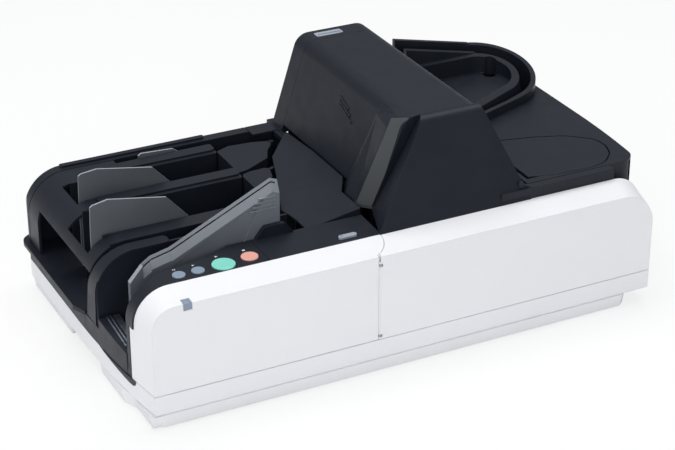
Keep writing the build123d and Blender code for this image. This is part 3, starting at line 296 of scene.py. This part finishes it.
def skirt_ring(inset, z):
    """Outline of the tray's foot at a height, with the hand recess on its left."""
    left = foot_inset + inset - end_flare
    right = foot_right - inset
    front = 0.1 + inset * 0.6
    rear = foot_rear - inset
    ring = [(right - foot_corner, front), (right, foot_corner), (right, foot_rear - 6.5),
            (foot_right - foot_corner, rear), (left + foot_corner, rear), (left, foot_rear - 6.5),
            (left, hand_rear), (left + hand_depth, hand_rear), (left + hand_depth, hand_front),
            (left, hand_front), (left, 62)]
    ring += [(foot_inset + inset - flare(y), y) for y in (46, 30, 16, foot_corner)]
    ring += [(4.0 + inset, 1.4 + inset * 0.6), (9 + inset, front)]
    return [(x, y, z) for x, y in ring]


def make_foot():
    prism("tray_foot", skirt_ring(2.2, 1.3), skirt_ring(0.0, 16.4), WHITE, bevel=1.6)


def floor_at(y):
    """Height of the ledge's sloping top."""
    return 61.5 + 8.0 * (y - 51.0) / 64.0


def make_hopper_ledge():
    """Sloping floor along the hopper's left side, with its rails of steel."""
    ring = [(-flare(y) + 0.4, y) for y in (51.8, 62, 72, 82, 92, 102, ledge_rear)]
    ring += [(ledge_right, ledge_rear), (ledge_right, 51.8)]
    low = [(x, y, 37.0) for x, y in ring]
    high = [(x, y, floor_at(y)) for x, y in ring]
    prism("hopper_ledge", low, high, BLACK, bevel=0.5)
    for i, x in enumerate((-3.2, 0.4)):
        start, end = [(x, y, floor_at(y) + 0.4) for y in (rail_front, rail_rear)]
        rod_piece("ledge_rod_%d" % (i + 1), start, end, rail_radius, STEEL)
    strip = [(3.4, rail_front), (9.6, rail_front), (9.6, rail_rear), (3.4, rail_rear)]
    low = [(x, y, floor_at(y) - 0.4) for x, y in strip]
    high = [(x, y, floor_at(y) + 0.7) for x, y in strip]
    prism("ledge_strip", low, high, STEEL, bevel=0.3)


def make_rim_skin():
    """The hopper's wall laps over the tray's left rim and dips towards the front."""
    build = bmesh.new()
    rows = [(35.2, 37.2), (36.6, 33.6), (39.4, 31.8), (48, 31.6), (60, 32.8), (72, 34.1), (84, 35.4),
            (96, 36.7), (107, 37.9)]
    columns = []
    for y, z in rows:
        x = -flare(y)
        corners = [(x - lap_skin, lap_top), (x - lap_skin, z), (x + lap_skin, z), (x + lap_skin, lap_top)]
        columns.append([build.verts.new(spot(side, y, height)) for side, height in corners])
    for a, b in zip(columns, columns[1:]):
        for k in range(4):
            build.faces.new((a[k], a[(k + 1) % 4], b[(k + 1) % 4], b[k]))
    build.faces.new(columns[0])
    build.faces.new(reversed(columns[-1]))
    bmesh.ops.recalc_face_normals(build, faces=build.faces)
    finish_piece("rim_skin", build, BLACK, "root", 0)


def fin_left(y, z):
    """How far left the fin's side lies."""
    return 264.0 + 0.1967 * (y - 100) + 0.3977 * (z - deck_height)


def outer_edge(z):
    """The strip's left edge at a height; it starts at the deck."""
    return 264.0 + hood_lean * (z - deck_height), 100.0 - hood_back * (z - deck_height), z


def inner_edge(z):
    """The strip's right edge at a height, along the hood's parting plane."""
    return 276.3 + hood_lean * (z - deck_height), 86.6 - hood_back * (z - deck_height), z


def make_fin():
    """Front left corner of the hood: an upright side that rounds into the top."""
    points = []
    for z in (139.0, 222.0):
        for y in (outer_edge(z)[1], 132.0 - 0.04 * (z - 139)):
            points += [(fin_left(y, z), y, z), (fin_left(y, z) + 8, y, z)]
    for z, back in ((229.0, 2.6), (233.6, 7.0), (236.7, 16.0)):
        y = outer_edge(z)[1]
        points += [(fin_left(y, z) + back, y + 0.5, z), (fin_left(129, z) + back, 128.5, z)]
    for z in (139.0, 236.4):
        x, y, _ = inner_edge(z)
        points += [(x, y, z), (x + 5, y + 0.5, z)]
    hull("hood_fin_shell", points, BLACK, body="hood", bevel=0.8)


def make_strip():
    """Thin grey strip on the face that cuts the hood's corner."""
    a, b, c, d = [Vector(corner) for corner in (outer_edge(139.6), inner_edge(139.6), outer_edge(232.5),
                                                inner_edge(235.8))]
    out = (b - a).cross(c - a).normalized() * 0.35
    side = (b - a).normalized() * 0.4
    corners = [a + side, b - side, d - side, c + side]
    points = [tuple(corner + out) for corner in corners] + [tuple(corner - out) for corner in corners]
    hull("facet_strip", points, STRIP, body="hood", bevel=0.25)


def behind(node, gap):
    """A place in plan behind a button."""
    low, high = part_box(node)
    return (low.x + high.x) * 500 + middle_x, high.y * 1000 + middle_y + gap


def flat_mark(name, ring):
    """Thin print on the left deck."""
    low = [(x, y, deck_height - 0.1) for x, y in ring]
    high = [(x, y, deck_height + 0.08) for x, y in ring]
    prism(name, low, high, PRINT, bevel=0)


def make_marks():
    """Small generic signs behind the buttons."""
    x, y = behind("start_button", 3.0)
    flat_mark("mark_start", [(x - 1.4, y), (x + 1.6, y + 1.6), (x - 1.4, y + 3.2)])
    x, y = behind("stop_button", 3.0)
    flat_mark("mark_stop", [(x - 1.4, y), (x + 1.4, y), (x + 1.4, y + 2.8), (x - 1.4, y + 2.8)])
    x, y = behind("forward_button", 2.6)
    flat_mark("mark_forward", [(x - 1.4, y), (x + 1.4, y + 1.3), (x - 1.4, y + 2.6)])
    x, y = behind("jog_button", 2.6)
    for k in (0, 1):
        left = x - 1.6 + 1.8 * k
        right = left + 0.8
        flat_mark("mark_jog_%d" % (k + 1), [(left, y), (right, y), (right, y + 2.4), (left, y + 2.4)])


def make_fillers():
    """Close the seams round the rear left corner of the hood."""
    boxes = (((274, 279), (303, 327), (62, 136.4)), ((270, 279), (286, 306), (131, 136.4)))
    for i, (xs, ys, zs) in enumerate(boxes):
        corners = [(x, y, z) for x in xs for y in ys for z in zs]
        hull("seam_filler_%d" % (i + 1), corners, BLACK, bevel=0.3)


make_foot()
make_fillers()
make_hopper_ledge()
make_rim_skin()
make_fin()
make_strip()
make_marks()


# ---- light, floor, camera ----
def area(name, place, target, size, power, color=(1.0, 1.0, 1.0)):
    data = bpy.data.lights.new(name, "AREA")
    data.shape = "RECTANGLE"
    data.size, data.size_y = size
    data.energy = power
    data.color = color
    lamp = bpy.data.objects.new(name, data)
    lamp.location = place
    lamp.rotation_euler = (Vector(target) - Vector(place)).to_track_quat("-Z", "Y").to_euler()
    bpy.context.collection.objects.link(lamp)
    return lamp


area("top_softbox", (0.1, 0.3, 2.2), (0, 0, 0), (2.4, 1.6), 36)
area("front_softbox", (-0.9, -2.4, 1.3), (0, 0, 0.1), (1.6, 1.2), 22)
area("left_softbox", (-2.2, 0.0, 1.1), (0, 0, 0.1), (1.0, 1.6), 9)

world = bpy.data.worlds.new("studio")
bpy.context.scene.world = world
world.use_nodes = True
nodes = world.node_tree.nodes
links = world.node_tree.links
nodes.clear()
output = nodes.new("ShaderNodeOutputWorld")
ray = nodes.new("ShaderNodeLightPath")
seen = nodes.new("ShaderNodeBackground")
seen.inputs["Color"].default_value = (1, 1, 1, 1)
seen.inputs["Strength"].default_value = 1.0
fill = nodes.new("ShaderNodeBackground")
fill.inputs["Color"].default_value = (0.92, 0.95, 1.0, 1)
fill.inputs["Strength"].default_value = 0.35
blend = nodes.new("ShaderNodeMixShader")
links.new(ray.outputs["Is Camera Ray"], blend.inputs[0])
links.new(fill.outputs[0], blend.inputs[1])
links.new(seen.outputs[0], blend.inputs[2])
links.new(blend.outputs[0], output.inputs["Surface"])


def floor():
    bpy.ops.mesh.primitive_plane_add(size=8.0, location=(0, 0, 0))
    plane = bpy.context.object
    plane.name = "floor"
    n = Nodes("pale_floor")
    shader = n.add("ShaderNodeBsdfPrincipled")
    shader.inputs["Roughness"].default_value = 0.9
    n.link(n.mix(n.noise(3.0), (0.93, 0.93, 0.93), (0.95, 0.95, 0.95)), shader.inputs["Base Color"])
    glow = n.add("ShaderNodeEmission")
    share = n.add("ShaderNodeMath", operation="MULTIPLY")
    share.inputs[1].default_value = 0.72
    n.link(n.add("ShaderNodeLightPath").outputs["Is Camera Ray"], share.inputs[0])
    join = n.add("ShaderNodeMixShader")
    n.link(share.outputs[0], join.inputs[0])
    n.link(shader.outputs["BSDF"], join.inputs[1])
    n.link(glow.outputs[0], join.inputs[2])
    n.link(join.outputs[0], n.out.inputs["Surface"])
    plane.data.materials.append(n.mat)


floor()

camera_data = bpy.data.cameras.new("camera")
camera_data.sensor_width = 36.0
camera_data.lens = 105.19
camera = bpy.data.objects.new("camera", camera_data)
camera.location = (-0.84108, -1.66442, 1.04773)
camera.rotation_euler = (math.radians(62.59), 0.0, math.radians(-26.80))
bpy.context.collection.objects.link(camera)
bpy.context.scene.camera = camera
bpy.context.scene.view_settings.view_transform = "Standard"
